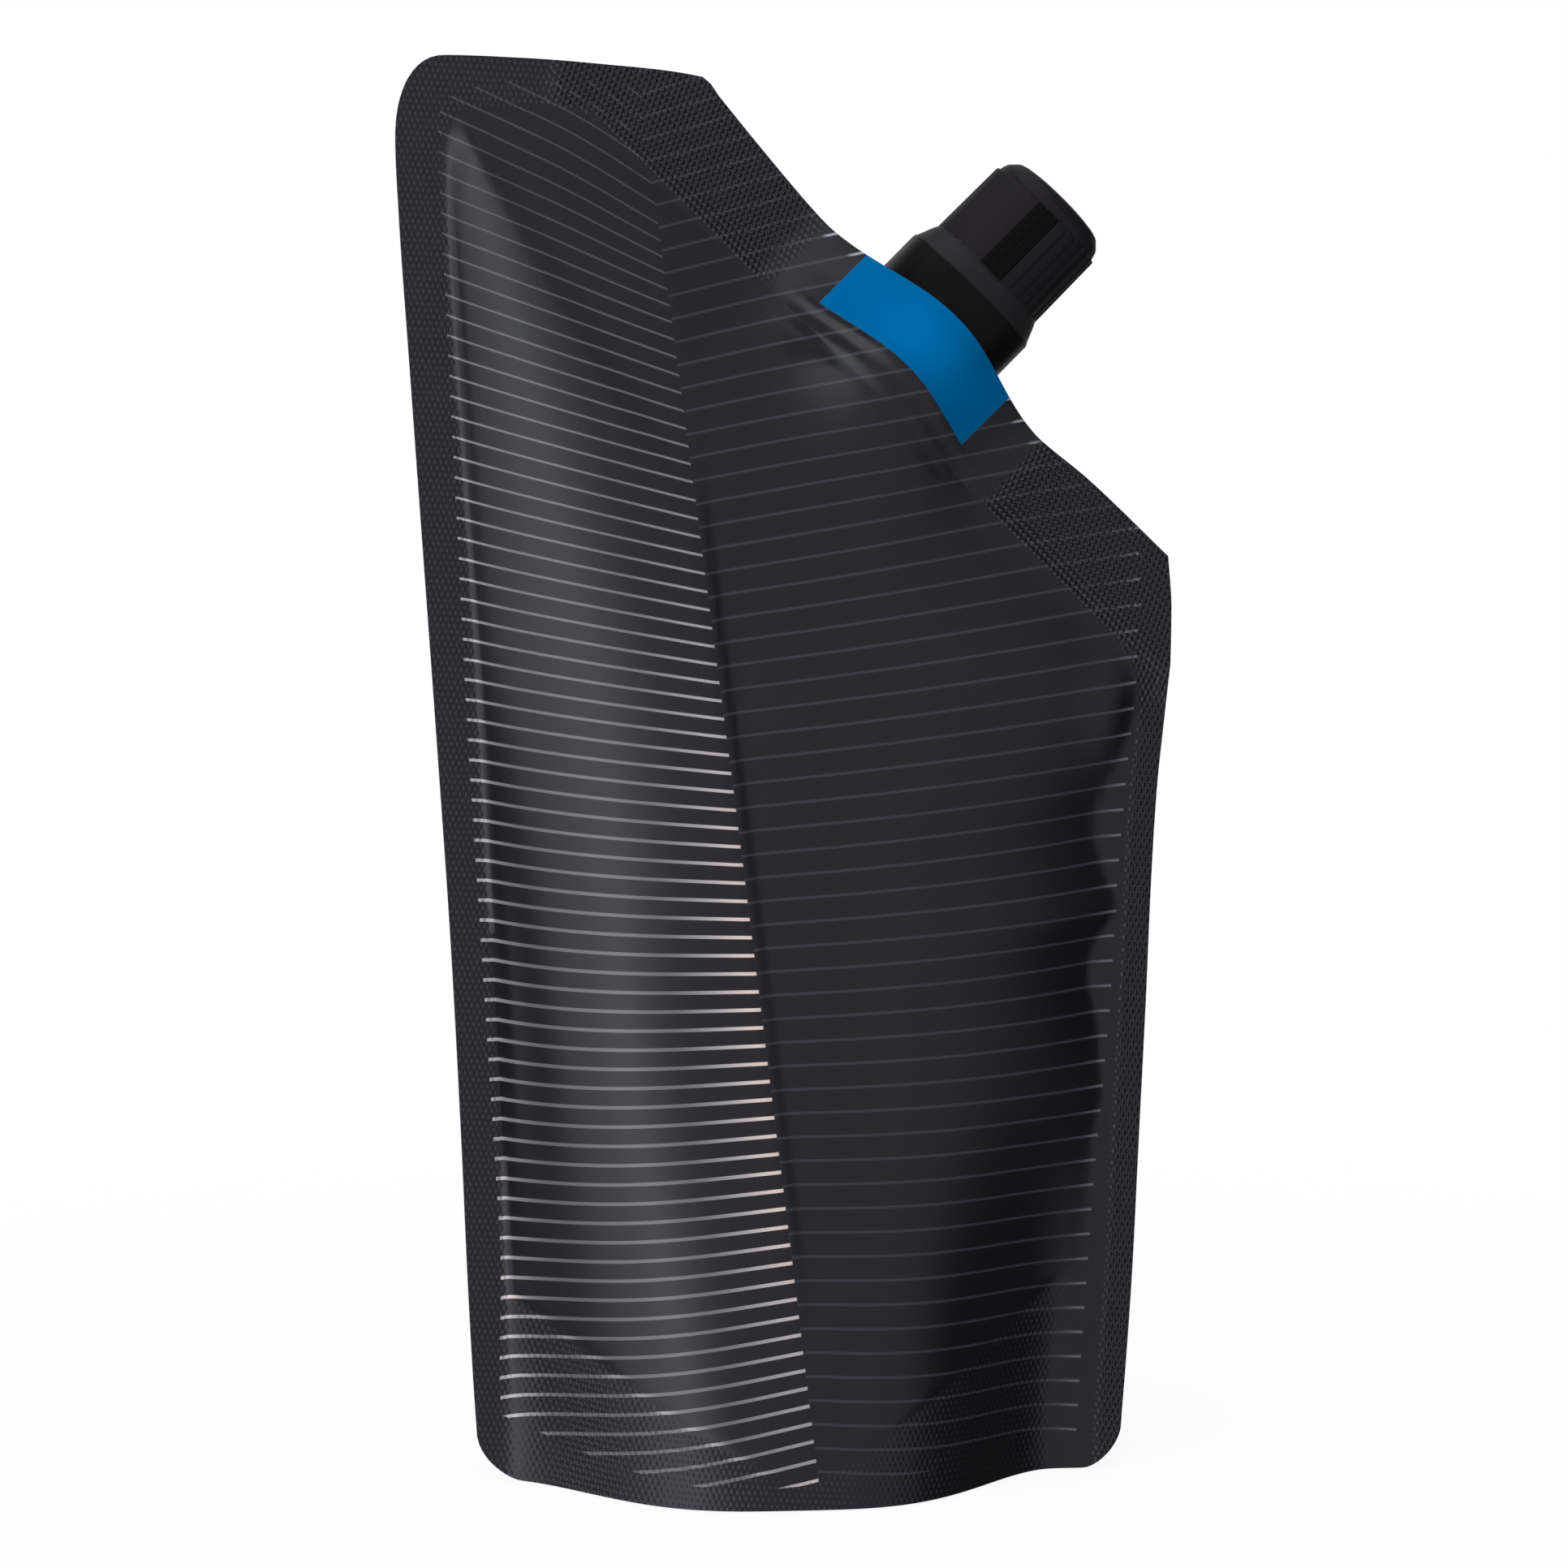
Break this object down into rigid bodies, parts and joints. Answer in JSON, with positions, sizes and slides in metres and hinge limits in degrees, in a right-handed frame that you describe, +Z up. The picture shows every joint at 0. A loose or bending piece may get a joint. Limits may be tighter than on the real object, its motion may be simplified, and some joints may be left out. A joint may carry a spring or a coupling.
{
  "type": "collapsible flask",
  "caption": "Flat pouch flask of welded laminated film that stands on a folded base gusset, with a slanted spout fitment and a serrated screw cap.",
  "frame": {"origin": "middle of the foot, on the floor under the centre of the box around the flask", "axes": "+Z up, +X along the flask's width towards the spout's side, the front panel faces -Y"},
  "size_m": [0.1073, 0.0498, 0.1974],
  "materials": {
    "panel_film": "black laminated film with a satin gloss",
    "gusset_film": "plain black laminated film",
    "fitment_plastic": "moulded black plastic",
    "cap_plastic": "moulded dark plastic with a fine texture",
    "liner_foam": "pale soft sealing foam"
  },
  "bodies": {
    "pouch": {"front_panel": "panel_film", "back_panel": "panel_film", "spout_fitment": "fitment_plastic"},
    "gusset": {"base_gusset": "gusset_film"},
    "liner": {"cap_liner": "liner_foam"},
    "cap": {"screw_cap": "cap_plastic"}
  },
  "joints": [
    {"name": "collapse", "type": "slide", "parent": "pouch", "child": "gusset", "axis": [0, 0, 1], "range_m": [0, 0.024], "deforming": ["base_gusset"]},
    {"name": "cap_lift", "type": "slide", "parent": "pouch", "child": "liner", "axis": [0.7071, 0, 0.7071], "range_m": [0, 0.0261]},
    {"name": "cap_turn", "type": "hinge", "parent": "liner", "child": "cap", "pos_m": [0.02, 0, 0.1598], "axis": [0.7071, 0, 0.7071], "range_deg": [0, 1560]}
  ],
  "couplings": [
    {"joint": "cap_lift", "follows": "cap_turn", "m_per_rad": 0.00095493}
  ]
}
